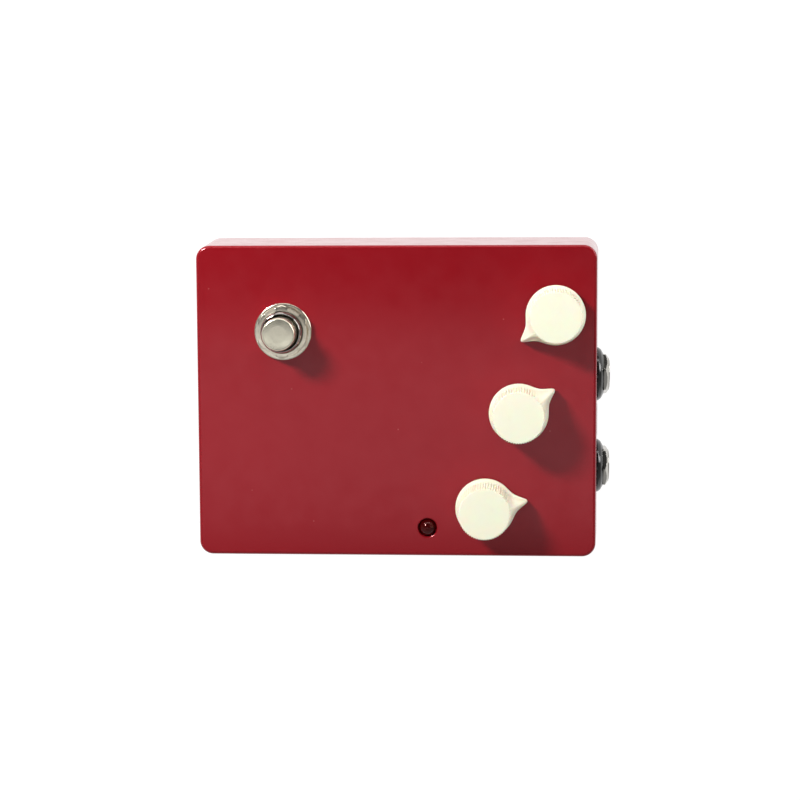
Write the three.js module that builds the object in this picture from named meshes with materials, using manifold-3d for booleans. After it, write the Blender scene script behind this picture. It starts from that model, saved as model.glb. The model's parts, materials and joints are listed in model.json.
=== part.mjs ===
// A three-knob guitar effects pedal in a die-cast box, drawn in millimetres.
// +Z is up, +Y points to the rear edge with the sockets, and +X is the player's right.
// Every height below is measured from the surface that the rubber feet stand on.

import * as THREE from 'three';
import { ConvexGeometry } from 'three/addons/geometries/ConvexGeometry.js';
import { mergeVertices } from 'three/addons/utils/BufferGeometryUtils.js';
import Module from 'manifold-3d';

const wasm = await Module();
wasm.setup();

// ---- Driving dimensions ----------------------------------------------------------------

// Enclosure. The four walls lean out by DRAFT from the face to the open end.
const FACE_WIDTH = 91.5;
const FACE_LENGTH = 117.2;
const DRAFT = 1.35;
const SHELL_HEIGHT = 30.8;
const BASE_THICKNESS = 3.2;
const FOOT_HEIGHT = 3.2;
const CORNER_RADIUS = 4;
const EDGE_RADIUS = 0.9;
const WALL = 2.2;
const LIP_HEIGHT = 2;
const LIP_THICKNESS = 1.6;
// Round a lid lip or an insert, round a fixed part in its hole, and in a thread.
const FITTING_GAP = 0.3;
const HOLE_GAP = 0.1;
const THREAD_GAP = 0.05;

// Lid screws and the posts that they bite into: three along each long side.
const BOSS_X = 42.2;
const BOSS_ROWS = [-54.9, 0, 54.9];
const BOSS_RADIUS = 3.9;
const SCREW_RADIUS = 1.6;
const SCREW_LENGTH = 9;
const SCREW_HEAD_RADIUS = 3.1;
const SCREW_HEAD_HEIGHT = 1.7;
const SCREW_HEAD_RECESS = 0.1;

const FOOT_RADIUS = 6;
const FOOT_X = 33;
const FOOT_Y = 45;

// Controls: where each stands on the face, and where its pointer rests, in degrees
// clockwise from the rear edge. Each control turns 150 degrees either side of the rear.
const CONTROLS = [
  { number: 1, x: -25.5, y: 46.65, pointerDeg: 143.2 },
  { number: 2, x: 3.2, y: 36, pointerDeg: -33.9 },
  { number: 3, x: 31.2, y: 26.2, pointerDeg: -9.9 },
];

const POT_WIDTH = 9.8;
const POT_LENGTH = 11.4;
const POT_CASE_HEIGHT = 5.5;
const POT_PLATE_HEIGHT = 1.2;
const POT_BUSHING_RADIUS = 4.5;
const POT_BUSHING_RISE = 4.6;
const POT_NUT_ACROSS_FLATS = 11;
const POT_NUT_HEIGHT = 2;
const POT_WASHER_RADIUS = 6.2;
const POT_WASHER_HEIGHT = 0.5;
const SHAFT_RADIUS = 3.1;
const RUNNING_GAP = 0.08;

const KNOB_CLEARANCE = 0.8;
const KNOB_HEIGHT = 12.2;
const KNOB_SKIRT_RADIUS = 8.7;
const KNOB_SKIRT_HEIGHT = 1.2;
const KNOB_BODY_RADIUS = 7.95;
const KNOB_TOP_RADIUS = 7.5;
const KNOB_POINTER_REACH = 12.55;
const KNOB_POINTER_TIP_HEIGHT = 3;
const KNOB_CAVITY_RADIUS = 7;
const KNOB_CAVITY_HEIGHT = 6;
const INSERT_RADIUS = 4.4;
const INSERT_HEIGHT = 5;
const SET_SCREW_RADIUS = 1.5;
const SET_SCREW_LENGTH = 3.6;
const SET_SCREW_HEIGHT = 8.5;

// Footswitch.
const SWITCH_X = -20.65;
const SWITCH_Y = -33;
const SWITCH_WIDTH = 17.2;
const SWITCH_FRAME_HEIGHT = 1;
const SWITCH_BODY_HEIGHT = 14;
const SWITCH_WAFER_HEIGHT = 1.5;
const SWITCH_LUG_HEIGHT = 4.5;
const SWITCH_LUG_PITCH = 5;
const SWITCH_BUSHING_RADIUS = 6;
const SWITCH_BUSHING_RISE = 6.7;
const SWITCH_BORE_RADIUS = 4.83;
const SWITCH_WASHER_RADIUS = 8.4;
const SWITCH_WASHER_HEIGHT = 1;
const SWITCH_NUT_ACROSS_FLATS = 14;
const SWITCH_NUT_HEIGHT = 2.4;
const SWITCH_NUT_CHAMFER = 0.6;
const BUTTON_RADIUS = 4.75;
const BUTTON_RISE = 12.8;
const BUTTON_SHOULDER = 2.5;
const BUTTON_TRAVEL = 3.5;
const SPRING_WELL_DEPTH = 10;
const SPRING_RADIUS = 3.7;
const SPRING_WIRE_RADIUS = 0.4;
const SPRING_TURNS = 4;

// Status lamp.
const LAMP_X = 37.4;
const LAMP_Y = 9.2;
const LAMP_RADIUS = 2.5;
const LAMP_RISE = 1.2;
const LAMP_FLANGE_RADIUS = 2.9;
const LAMP_LENGTH = 8.6;
const LAMP_HOLE_RADIUS = 2.7;
const LAMP_LEAD_SPACING = 2.54;
const LAMP_LEAD_WIDTH = 0.5;

// Sockets on the rear wall.
const SOCKET_DROP = 18.3;
// nutDeg is how far each socket's nut happens to have been turned.
const SOCKETS = [
  { name: 'input_jack', x: 21.1, nutDeg: 34 },
  { name: 'output_jack', x: -6.6, nutDeg: 14 },
];
const JACK_BORE_RADIUS = 3.25;
const JACK_BUSHING_RADIUS = 4.5;
const JACK_BODY_WIDTH = 15.6;
const JACK_BODY_HEIGHT = 14.4;
const JACK_BODY_LENGTH = 26;
const JACK_DEPTH = 31.5;
const JACK_COLLAR_HEIGHT = 1.9;
// The collar's domed profile: radius, and distance out from the wall.
const JACK_COLLAR_PROFILE = [[8, 0.2], [7.8, 0.6], [7.4, 1], [6.6, 1.6], [5.9, 1.9]];
const JACK_NUT_ACROSS_FLATS = 11;
const JACK_NUT_HEIGHT = 1.5;
const JACK_NUT_CROWN_RADIUS = 4.7;
const JACK_BUSHING_END = 0.25;

const POWER_X = 7.25;
const POWER_WIDTH = 9;
const POWER_HEIGHT = 11;
const POWER_LENGTH = 14;
const POWER_BORE_RADIUS = 2.9;
const POWER_BORE_DEPTH = 10;
const POWER_PIN_RADIUS = 1.05;
const POWER_SETBACK = 0.05;
const POWER_HOLE_GAP = 0.2;

// Circuit board, hung under the three controls, and what it carries.
const BOARD_HALF_WIDTH = 41;
const BOARD_FRONT = 5.2;
const BOARD_REAR = 52;
const BOARD_NOTCH = 6;
const BOARD_THICKNESS = 1.6;
const CHIP_LENGTH = 9.4;
const CHIP_WIDTH = 6.4;
const CHIP_HEIGHT = 3.4;
const CHIP_STANDOFF = 1;
const CHIP_PLACE = [0, 18];
const CAPACITOR_RADIUS = 4;
const CAPACITOR_HEIGHT = 11;
const CAPACITOR_PLACE = [28, 18];
const RIBBON_WIDTH = 9;
const RIBBON_THICKNESS = 1.1;

// Heights that follow from them.
const BASE_Z = FOOT_HEIGHT;
const RIM_Z = BASE_Z + BASE_THICKNESS;
const FACE_Z = RIM_Z + SHELL_HEIGHT;
const CEILING_Z = FACE_Z - WALL;
const SOCKET_Z = FACE_Z - SOCKET_DROP;
const BOARD_TOP = CEILING_Z - POT_PLATE_HEIGHT - POT_CASE_HEIGHT;
const BOARD_UNDERSIDE = BOARD_TOP - BOARD_THICKNESS;
const REAR_WALL_Y = FACE_LENGTH / 2 + lean(SOCKET_Z);
const NUT_OUTER_Y = REAR_WALL_Y + JACK_COLLAR_HEIGHT + JACK_NUT_HEIGHT;
const BUSHING_OUTER_Y = NUT_OUTER_Y + JACK_BUSHING_END;

// Facets round a full turn.
const FINE = 32;
const ROUND = 20;
const COARSE = 12;

// ---- Materials -------------------------------------------------------------------------

const MATERIALS = {
  redPaint: [0x94222c, 0.35, 0.1],
  rubber: [0x1c1c1c, 0.9, 0],
  zincSteel: [0xa9a9a6, 0.4, 1],
  nickel: [0xc4c1b4, 0.25, 1],
  brass: [0xb08d4a, 0.35, 1],
  creamPlastic: [0xf6efd2, 0.45, 0],
  blackPlastic: [0x161616, 0.4, 0],
  bluePlastic: [0x274a8a, 0.5, 0],
  redLens: [0x4a0a10, 0.1, 0],
  greenBoard: [0x1d5a33, 0.5, 0],
  capSleeve: [0x202a4c, 0.4, 0],
  ribbon: [0x8a8f96, 0.6, 0],
};

function material(name) {
  const [color, roughness, metalness] = MATERIALS[name];
  return new THREE.MeshStandardMaterial({ color, roughness, metalness });
}

// ---- Shape helpers ---------------------------------------------------------------------

// How far the walls have leaned out at height z.
function lean(z) {
  return DRAFT * (FACE_Z - z) / SHELL_HEIGHT;
}

function block(x0, x1, y0, y1, z0, z1) {
  const box = new THREE.BoxGeometry(x1 - x0, y1 - y0, z1 - z0);
  return box.translate((x0 + x1) / 2, (y0 + y1) / 2, (z0 + z1) / 2);
}

// A box centred on the Z axis.
function slab(width, length, z0, z1) {
  return block(-width / 2, width / 2, -length / 2, length / 2, z0, z1);
}

// A solid of revolution about Z; each point is [radius, height], from axis to axis
// or round a closed section.
function turned(points, facets = ROUND) {
  const profile = points.map(([r, z]) => new THREE.Vector2(r, z));
  return new THREE.LatheGeometry(profile, facets).rotateX(Math.PI / 2);
}

function rod(radius, z0, z1, facets = ROUND) {
  return turned([[0, z0], [radius, z0], [radius, z1], [0, z1]], facets);
}

// Lays a solid that was drawn along +Z down along +Y, so that its top faces the rear.
function laidToRear(geometry) {
  return geometry.rotateX(-Math.PI / 2);
}

function prism(shape, z0, z1, curveSegments = 6) {
  const options = { depth: z1 - z0, bevelEnabled: false, curveSegments };
  return new THREE.ExtrudeGeometry(shape, options).translate(0, 0, z0);
}

function roundedRectangle(width, length, radius) {
  const x = width / 2;
  const y = length / 2;
  const shape = new THREE.Shape();
  shape.moveTo(-x + radius, -y);
  shape.lineTo(x - radius, -y);
  shape.absarc(x - radius, -y + radius, radius, -Math.PI / 2, 0);
  shape.lineTo(x, y - radius);
  shape.absarc(x - radius, y - radius, radius, 0, Math.PI / 2);
  shape.lineTo(-x + radius, y);
  shape.absarc(-x + radius, y - radius, radius, Math.PI / 2, Math.PI);
  shape.lineTo(-x, -y + radius);
  shape.absarc(-x + radius, -y + radius, radius, Math.PI, Math.PI * 1.5);
  return shape;
}

// A hexagon with two of its corners on the X axis.
function hexagon(acrossFlats) {
  const radius = acrossFlats / Math.sqrt(3);
  const corners = Array.from({ length: 6 }, (_, i) => {
    const angle = i * Math.PI / 3;
    return new THREE.Vector2(radius * Math.cos(angle), radius * Math.sin(angle));
  });
  return new THREE.Shape(corners);
}

// The enclosure's own outline drawn in by inset, from zLow to zHigh, with the walls
// leaning and the top edge rounded by edgeRadius.
function draftedBlock(inset, zLow, zHigh, edgeRadius) {
  const radius = CORNER_RADIUS - inset / 2;
  const outline = roundedRectangle(FACE_WIDTH - 2 * inset, FACE_LENGTH - 2 * inset, radius);
  const options = {
    depth: zHigh - zLow,
    bevelThickness: edgeRadius,
    bevelSize: edgeRadius,
    bevelOffset: -edgeRadius,
    bevelSegments: 3,
    curveSegments: 6,
  };
  const geometry = new THREE.ExtrudeGeometry(outline, options);
  geometry.translate(0, 0, zLow - edgeRadius);
  const points = geometry.attributes.position;
  for (let i = 0; i < points.count; i += 1) {
    const out = lean(points.getZ(i));
    points.setX(i, points.getX(i) + Math.sign(points.getX(i)) * out);
    points.setY(i, points.getY(i) + Math.sign(points.getY(i)) * out);
  }
  // Trim the lower rounding away, so that the low end is square and the top at zHigh.
  const reach = FACE_LENGTH;
  const below = slab(2 * reach, 2 * reach, zLow - reach, zLow);
  return cut(geometry, below);
}

// ---- Joining and cutting ---------------------------------------------------------------

// A closed three.js mesh as a solid, with flat triangles dropped and faces pointing out.
function solidOf(geometry) {
  const bare = geometry.clone();
  bare.deleteAttribute('normal');
  bare.deleteAttribute('uv');
  const merged = mergeVertices(bare, 1e-4);
  const at = merged.attributes.position;
  const index = merged.index.array;
  const corners = [];
  let volume = 0;
  const [a, b, c] = [new THREE.Vector3(), new THREE.Vector3(), new THREE.Vector3()];
  for (let i = 0; i < index.length; i += 3) {
    const [p, q, r] = [index[i], index[i + 1], index[i + 2]];
    if (p !== q && q !== r && r !== p) {
      corners.push(p, q, r);
      a.fromBufferAttribute(at, p);
      b.fromBufferAttribute(at, q);
      c.fromBufferAttribute(at, r);
      volume += a.dot(b.cross(c));
    }
  }
  if (volume < 0) {
    corners.reverse();
  }
  const mesh = new wasm.Mesh({
    numProp: 3,
    vertProperties: new Float32Array(at.array),
    triVerts: new Uint32Array(corners),
  });
  return new wasm.Manifold(mesh);
}

function geometryOf(solid) {
  const { vertProperties, triVerts } = solid.getMesh();
  const geometry = new THREE.BufferGeometry();
  geometry.setAttribute('position', new THREE.BufferAttribute(vertProperties, 3));
  geometry.setIndex(new THREE.BufferAttribute(triVerts, 1));
  return geometry;
}

function join(...geometries) {
  return geometryOf(geometries.map(solidOf).reduce((sum, next) => sum.add(next)));
}

function cut(geometry, ...tools) {
  const solids = tools.map(solidOf);
  return geometryOf(solids.reduce((rest, tool) => rest.subtract(tool), solidOf(geometry)));
}

function common(first, second) {
  return geometryOf(solidOf(first).intersect(solidOf(second)));
}

function piece(parent, name, geometry, materialName) {
  const mesh = new THREE.Mesh(geometryOf(solidOf(geometry)), material(materialName));
  mesh.name = name;
  parent.add(mesh);
  return mesh;
}

// ---- Enclosure -------------------------------------------------------------------------

function bossCentres() {
  return BOSS_ROWS.flatMap((y) => [[-BOSS_X, y], [BOSS_X, y]]);
}

function bosses(radius, z0, z1) {
  return bossCentres().map(([x, y]) => rod(radius, z0, z1, COARSE).translate(x, y, 0));
}

function addShell(pedal) {
  const outer = draftedBlock(0, RIM_Z, FACE_Z, EDGE_RADIUS);
  const hollow = cut(
    draftedBlock(WALL, RIM_Z - 1, CEILING_Z, EDGE_RADIUS),
    ...bosses(BOSS_RADIUS, RIM_Z - 2, FACE_Z),
  );
  const screwHoles = bosses(SCREW_RADIUS + RUNNING_GAP, RIM_Z - 1, RIM_Z + SCREW_LENGTH);
  const controlHoles = CONTROLS.map(({ x, y }) => (
    rod(POT_BUSHING_RADIUS + HOLE_GAP, CEILING_Z - 1, FACE_Z + 1).translate(x, y, 0)
  ));
  const switchHole = rod(SWITCH_BUSHING_RADIUS + HOLE_GAP, CEILING_Z - 1, FACE_Z + 1);
  const lampHole = rod(LAMP_HOLE_RADIUS, CEILING_Z - 1, FACE_Z + 1);
  const jackHoles = SOCKETS.map(({ x }) => {
    const hole = rod(JACK_BUSHING_RADIUS + HOLE_GAP, REAR_WALL_Y - 8, REAR_WALL_Y + 8);
    return laidToRear(hole).translate(x, 0, SOCKET_Z);
  });
  const powerHalfWidth = POWER_WIDTH / 2 + POWER_HOLE_GAP;
  const powerHalfHeight = POWER_HEIGHT / 2 + POWER_HOLE_GAP;
  const powerHole = block(
    POWER_X - powerHalfWidth, POWER_X + powerHalfWidth,
    REAR_WALL_Y - 8, REAR_WALL_Y + 8,
    SOCKET_Z - powerHalfHeight, SOCKET_Z + powerHalfHeight,
  );
  const shell = cut(
    outer,
    hollow,
    ...screwHoles,
    ...controlHoles,
    switchHole.translate(SWITCH_X, SWITCH_Y, 0),
    lampHole.translate(LAMP_X, LAMP_Y, 0),
    ...jackHoles,
    powerHole,
  );
  piece(pedal, 'enclosure_shell', shell, 'redPaint');
}

function addBasePlate(pedal) {
  const width = FACE_WIDTH + 2 * DRAFT;
  const length = FACE_LENGTH + 2 * DRAFT;
  const outline = roundedRectangle(width, length, CORNER_RADIUS);
  const edge = EDGE_RADIUS * 2 / 3;
  const rounded = new THREE.ExtrudeGeometry(outline, {
    depth: BASE_THICKNESS,
    bevelThickness: edge,
    bevelSize: edge,
    bevelOffset: -edge,
    bevelSegments: 2,
    curveSegments: 6,
  });
  const plate = cut(
    rounded.translate(0, 0, BASE_Z + edge),
    slab(2 * width, 2 * length, RIM_Z, RIM_Z + BASE_THICKNESS),
  );
  const lipInset = WALL + FITTING_GAP;
  const lip = cut(
    draftedBlock(lipInset, RIM_Z - 1, RIM_Z + LIP_HEIGHT, 0.1),
    draftedBlock(lipInset + LIP_THICKNESS, RIM_Z - 2, RIM_Z + LIP_HEIGHT + 1, 0.1),
    ...bosses(BOSS_RADIUS + FITTING_GAP, RIM_Z, RIM_Z + LIP_HEIGHT + 1),
  );
  const recessTop = BASE_Z + SCREW_HEAD_HEIGHT + SCREW_HEAD_RECESS;
  const recesses = bosses(SCREW_HEAD_RADIUS + FITTING_GAP, BASE_Z - 1, recessTop);
  const holes = bosses(SCREW_RADIUS + 2 * HOLE_GAP, BASE_Z - 1, RIM_Z + 1);
  piece(pedal, 'base_plate', cut(join(plate, lip), ...recesses, ...holes), 'redPaint');
}

function addLidScrews(pedal) {
  const headZ = BASE_Z + SCREW_HEAD_RECESS;
  const shankZ = headZ + SCREW_HEAD_HEIGHT;
  const tipZ = RIM_Z + SCREW_LENGTH - 1;
  const shape = turned([
    [0, headZ],
    [SCREW_HEAD_RADIUS * 0.7, headZ],
    [SCREW_HEAD_RADIUS, headZ + 0.8],
    [SCREW_HEAD_RADIUS, shankZ],
    [SCREW_RADIUS, shankZ],
    [SCREW_RADIUS, tipZ - 1],
    [SCREW_RADIUS * 0.5, tipZ],
    [0, tipZ],
  ], COARSE);
  const slotWidth = 0.8;
  const slotLength = 3.4;
  const slotTop = headZ + 1.1;
  const screw = cut(
    shape,
    slab(slotWidth, slotLength, headZ - 1, slotTop),
    slab(slotLength, slotWidth, headZ - 1, slotTop),
  );
  bossCentres().forEach(([x, y], i) => {
    piece(pedal, `lid_screw_${i + 1}`, screw, 'zincSteel').position.set(x, y, 0);
  });
}

function addFeet(pedal) {
  const foot = turned([
    [0, 0],
    [FOOT_RADIUS - 1, 0],
    [FOOT_RADIUS - 0.3, 0.6],
    [FOOT_RADIUS, FOOT_HEIGHT],
    [0, FOOT_HEIGHT],
  ], COARSE);
  const centres = [[-FOOT_X, -FOOT_Y], [FOOT_X, -FOOT_Y], [-FOOT_X, FOOT_Y], [FOOT_X, FOOT_Y]];
  centres.forEach(([x, y], i) => {
    piece(pedal, `rubber_foot_${i + 1}`, foot, 'rubber').position.set(x, y, 0);
  });
}

// ---- Controls --------------------------------------------------------------------------

function addPotentiometer(pedal, { number, x, y }) {
  const place = new THREE.Group();
  place.position.set(x, y, 0);
  pedal.add(place);
  const name = `pot_${number}`;

  const plateZ = CEILING_Z - POT_PLATE_HEIGHT;
  const bore = SHAFT_RADIUS + RUNNING_GAP;
  const bushingTop = FACE_Z + POT_BUSHING_RISE;
  const wellFloor = BOARD_TOP + 1;
  const rotorRadius = 4;
  const caseShape = cut(
    slab(POT_WIDTH, POT_LENGTH, BOARD_TOP, plateZ),
    rod(rotorRadius + 0.2, wellFloor, plateZ + 1, COARSE),
  );
  piece(place, `${name}_case`, caseShape, 'zincSteel');

  const bushing = cut(
    join(
      slab(POT_WIDTH, POT_LENGTH, plateZ, CEILING_Z),
      rod(POT_BUSHING_RADIUS, plateZ + 0.2, bushingTop),
    ),
    rod(bore, plateZ - 1, bushingTop + 1),
  );
  piece(place, `${name}_bushing`, bushing, 'zincSteel');

  // The shaft widens under the bushing into the rotor that holds it in.
  const rotorTop = plateZ - 0.1;
  const shaftTop = FACE_Z + KNOB_CLEARANCE + KNOB_HEIGHT - 1.4;
  const shaft = turned([
    [0, wellFloor + 0.1],
    [rotorRadius, wellFloor + 0.1],
    [rotorRadius, rotorTop],
    [SHAFT_RADIUS, rotorTop],
    [SHAFT_RADIUS, shaftTop - 0.4],
    [SHAFT_RADIUS - 0.4, shaftTop],
    [0, shaftTop],
  ]);
  piece(place, `${name}_shaft`, shaft, 'zincSteel');

  const nutHole = POT_BUSHING_RADIUS + THREAD_GAP;
  const washerTop = FACE_Z + POT_WASHER_HEIGHT;
  const washer = cut(
    rod(POT_WASHER_RADIUS, FACE_Z, washerTop),
    rod(nutHole, FACE_Z - 1, washerTop + 1),
  );
  piece(place, `${name}_washer`, washer, 'nickel');
  const nut = cut(
    prism(hexagon(POT_NUT_ACROSS_FLATS), washerTop, washerTop + POT_NUT_HEIGHT),
    rod(nutHole, washerTop - 1, washerTop + POT_NUT_HEIGHT + 1),
  );
  piece(place, `${name}_nut`, nut, 'nickel');
}

// The knob's foot seen from above: a circle drawn out to a pointer along +Y.
function pointerOutline() {
  const spread = THREE.MathUtils.degToRad(33);
  const leave = Math.PI / 2 + spread;
  const arrive = Math.PI / 2 - spread;
  const tipHalf = 0.45;
  const easing = 4;
  const side = new THREE.Vector2(Math.cos(arrive), Math.sin(arrive));
  const from = side.clone().multiplyScalar(KNOB_SKIRT_RADIUS);
  const bend = new THREE.Vector2(
    from.x - side.y * easing,
    from.y + side.x * easing,
  );
  const shape = new THREE.Shape();
  shape.moveTo(-from.x, from.y);
  shape.absarc(0, 0, KNOB_SKIRT_RADIUS, leave, arrive + Math.PI * 2, false);
  shape.quadraticCurveTo(bend.x, bend.y, tipHalf, KNOB_POINTER_REACH);
  shape.lineTo(-tipHalf, KNOB_POINTER_REACH);
  shape.quadraticCurveTo(-bend.x, bend.y, -from.x, from.y);
  return shape;
}

function knobShape() {
  const neckZ = KNOB_SKIRT_HEIGHT + 1.6;
  const body = turned([
    [0, 0.5],
    [KNOB_SKIRT_RADIUS - 0.2, 0.5],
    [KNOB_SKIRT_RADIUS - 0.1, KNOB_SKIRT_HEIGHT],
    [KNOB_BODY_RADIUS + 0.2, neckZ - 0.6],
    [KNOB_BODY_RADIUS, neckZ],
    [KNOB_TOP_RADIUS + 0.1, KNOB_HEIGHT - 0.5],
    [KNOB_TOP_RADIUS - 0.4, KNOB_HEIGHT],
    [0, KNOB_HEIGHT],
  ], FINE);
  const skirt = prism(pointerOutline(), 0, KNOB_SKIRT_HEIGHT, 8);
  // The pointer's two flanks meet in a ridge that falls from the top edge to the tip.
  const flankX = 3.4;
  const flankY = 7.6;
  const ridge = new ConvexGeometry([
    new THREE.Vector3(0, KNOB_TOP_RADIUS - 1.5, KNOB_HEIGHT - 0.8),
    new THREE.Vector3(0, KNOB_TOP_RADIUS - 0.2, KNOB_HEIGHT - 0.8),
    new THREE.Vector3(0.3, KNOB_POINTER_REACH - 0.2, KNOB_POINTER_TIP_HEIGHT),
    new THREE.Vector3(-0.3, KNOB_POINTER_REACH - 0.2, KNOB_POINTER_TIP_HEIGHT),
    new THREE.Vector3(0.3, KNOB_POINTER_REACH - 0.3, 0.4),
    new THREE.Vector3(-0.3, KNOB_POINTER_REACH - 0.3, 0.4),
    new THREE.Vector3(flankX, flankY, 0.4),
    new THREE.Vector3(-flankX, flankY, 0.4),
  ]);
  const cavity = rod(KNOB_CAVITY_RADIUS, -1, KNOB_CAVITY_HEIGHT);
  const insertTop = KNOB_CAVITY_HEIGHT + INSERT_HEIGHT + FITTING_GAP;
  const insertSeat = rod(INSERT_RADIUS + THREAD_GAP, KNOB_CAVITY_HEIGHT - 1, insertTop);
  const reach = KNOB_SKIRT_RADIUS + 1;
  const screwWay = laidToRear(rod(SET_SCREW_RADIUS + HOLE_GAP, -reach, -1, COARSE));
  return cut(
    join(body, skirt, ridge),
    cavity,
    insertSeat,
    screwWay.translate(0, 0, SET_SCREW_HEIGHT),
  );
}

function insertShape() {
  const low = KNOB_CAVITY_HEIGHT;
  const high = KNOB_CAVITY_HEIGHT + INSERT_HEIGHT;
  const screwWay = laidToRear(rod(SET_SCREW_RADIUS + THREAD_GAP, -INSERT_RADIUS - 1, -1, COARSE));
  return cut(
    rod(INSERT_RADIUS, low, high),
    rod(SHAFT_RADIUS + THREAD_GAP, low - 1, high + 1),
    screwWay.translate(0, 0, SET_SCREW_HEIGHT),
  );
}

function setScrewShape() {
  const inner = SHAFT_RADIUS + 0.15;
  const outer = inner + SET_SCREW_LENGTH;
  const socketDepth = 1.4;
  const screw = cut(
    rod(SET_SCREW_RADIUS, -outer, -inner, COARSE),
    prism(hexagon(1.5), -outer - 1, -outer + socketDepth),
  );
  return laidToRear(screw).translate(0, 0, SET_SCREW_HEIGHT);
}

function addKnob(pedal, { number, x, y, pointerDeg }) {
  const place = new THREE.Group();
  place.position.set(x, y, FACE_Z + KNOB_CLEARANCE);
  place.rotation.z = -THREE.MathUtils.degToRad(pointerDeg);
  pedal.add(place);
  piece(place, `knob_${number}`, knobShape(), 'creamPlastic');
  piece(place, `knob_${number}_insert`, insertShape(), 'brass');
  piece(place, `knob_${number}_set_screw`, setScrewShape(), 'zincSteel');
}

// ---- Footswitch ------------------------------------------------------------------------

function addFootswitch(pedal) {
  const place = new THREE.Group();
  place.position.set(SWITCH_X, SWITCH_Y, 0);
  pedal.add(place);

  const frameZ = CEILING_Z - SWITCH_FRAME_HEIGHT;
  const bushingTop = FACE_Z + SWITCH_BUSHING_RISE;
  const bushing = cut(
    join(
      slab(SWITCH_WIDTH - 1, SWITCH_WIDTH - 1, frameZ, CEILING_Z),
      turned([
        [0, frameZ + 0.2],
        [SWITCH_BUSHING_RADIUS, frameZ + 0.2],
        [SWITCH_BUSHING_RADIUS, bushingTop - 0.5],
        [SWITCH_BUSHING_RADIUS - 0.5, bushingTop],
        [0, bushingTop],
      ]),
    ),
    rod(SWITCH_BORE_RADIUS, frameZ - 1, bushingTop + 1),
  );
  piece(place, 'footswitch_bushing', bushing, 'nickel');

  const bodyFloor = frameZ - SWITCH_BODY_HEIGHT;
  const wellFloor = frameZ - SPRING_WELL_DEPTH;
  const body = cut(
    slab(SWITCH_WIDTH, SWITCH_WIDTH, bodyFloor, frameZ),
    rod(SWITCH_BORE_RADIUS, wellFloor, frameZ + 1),
  );
  piece(place, 'footswitch_body', body, 'bluePlastic');

  const waferFloor = bodyFloor - SWITCH_WAFER_HEIGHT;
  const columns = [-SWITCH_LUG_PITCH, 0, SWITCH_LUG_PITCH];
  const lugs = columns.flatMap((x) => columns.map((y) => (
    slab(2, 0.6, waferFloor - SWITCH_LUG_HEIGHT, waferFloor + 0.5).translate(x, y, 0)
  )));
  const wafer = join(slab(SWITCH_WIDTH, SWITCH_WIDTH, waferFloor, bodyFloor), ...lugs);
  piece(place, 'footswitch_terminals', wafer, 'brass');

  // The button is a cap on a stem; the spring bears on the shoulder between them.
  const shoulderZ = FACE_Z + BUTTON_SHOULDER;
  const topZ = FACE_Z + BUTTON_RISE;
  const stemRadius = 2.4;
  const stemZ = wellFloor + BUTTON_TRAVEL + 0.5;
  const button = turned([
    [0, stemZ],
    [stemRadius, stemZ],
    [stemRadius, shoulderZ],
    [BUTTON_RADIUS, shoulderZ],
    [BUTTON_RADIUS, topZ - 0.6],
    [BUTTON_RADIUS - 0.2, topZ - 0.2],
    [BUTTON_RADIUS - 0.6, topZ],
    [0, topZ],
  ]);
  piece(place, 'footswitch_button', button, 'nickel');
  addSwitchSpring(place, wellFloor, shoulderZ);

  const washerTop = FACE_Z + SWITCH_WASHER_HEIGHT;
  const hole = SWITCH_BUSHING_RADIUS + THREAD_GAP;
  const washer = cut(
    turned([
      [0, FACE_Z],
      [SWITCH_WASHER_RADIUS, FACE_Z],
      [SWITCH_WASHER_RADIUS, washerTop - 0.4],
      [SWITCH_WASHER_RADIUS - 0.4, washerTop],
      [0, washerTop],
    ]),
    rod(hole, FACE_Z - 1, washerTop + 1),
  );
  piece(place, 'footswitch_washer', washer, 'nickel');

  const nutTop = washerTop + SWITCH_NUT_HEIGHT;
  const corner = SWITCH_NUT_ACROSS_FLATS / Math.sqrt(3);
  const chamfer = turned([
    [0, washerTop - 1],
    [corner + 1, washerTop - 1],
    [corner + 1, nutTop - SWITCH_NUT_CHAMFER],
    [corner - SWITCH_NUT_CHAMFER, nutTop],
    [0, nutTop],
  ]);
  const nut = cut(
    common(prism(hexagon(SWITCH_NUT_ACROSS_FLATS), washerTop, nutTop), chamfer),
    rod(hole, washerTop - 1, nutTop + 1),
  );
  piece(place, 'footswitch_nut', nut, 'nickel');
}

function addSwitchSpring(place, floorZ, shoulderZ) {
  const low = floorZ + SPRING_WIRE_RADIUS + 0.05;
  const high = shoulderZ - SPRING_WIRE_RADIUS - 0.05;
  const steps = SPRING_TURNS * 10;
  const path = Array.from({ length: steps + 1 }, (_, i) => {
    const angle = i * Math.PI * 2 / 10;
    return new THREE.Vector3(
      SPRING_RADIUS * Math.cos(angle),
      SPRING_RADIUS * Math.sin(angle),
      low + (high - low) * i / steps,
    );
  });
  const section = new THREE.Shape();
  section.absarc(0, 0, SPRING_WIRE_RADIUS, 0, Math.PI * 2);
  const coil = new THREE.ExtrudeGeometry(section, {
    extrudePath: new THREE.CatmullRomCurve3(path),
    steps,
    curveSegments: 3,
  });
  piece(place, 'footswitch_spring', coil, 'zincSteel');
}

// ---- Status lamp -----------------------------------------------------------------------

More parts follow.
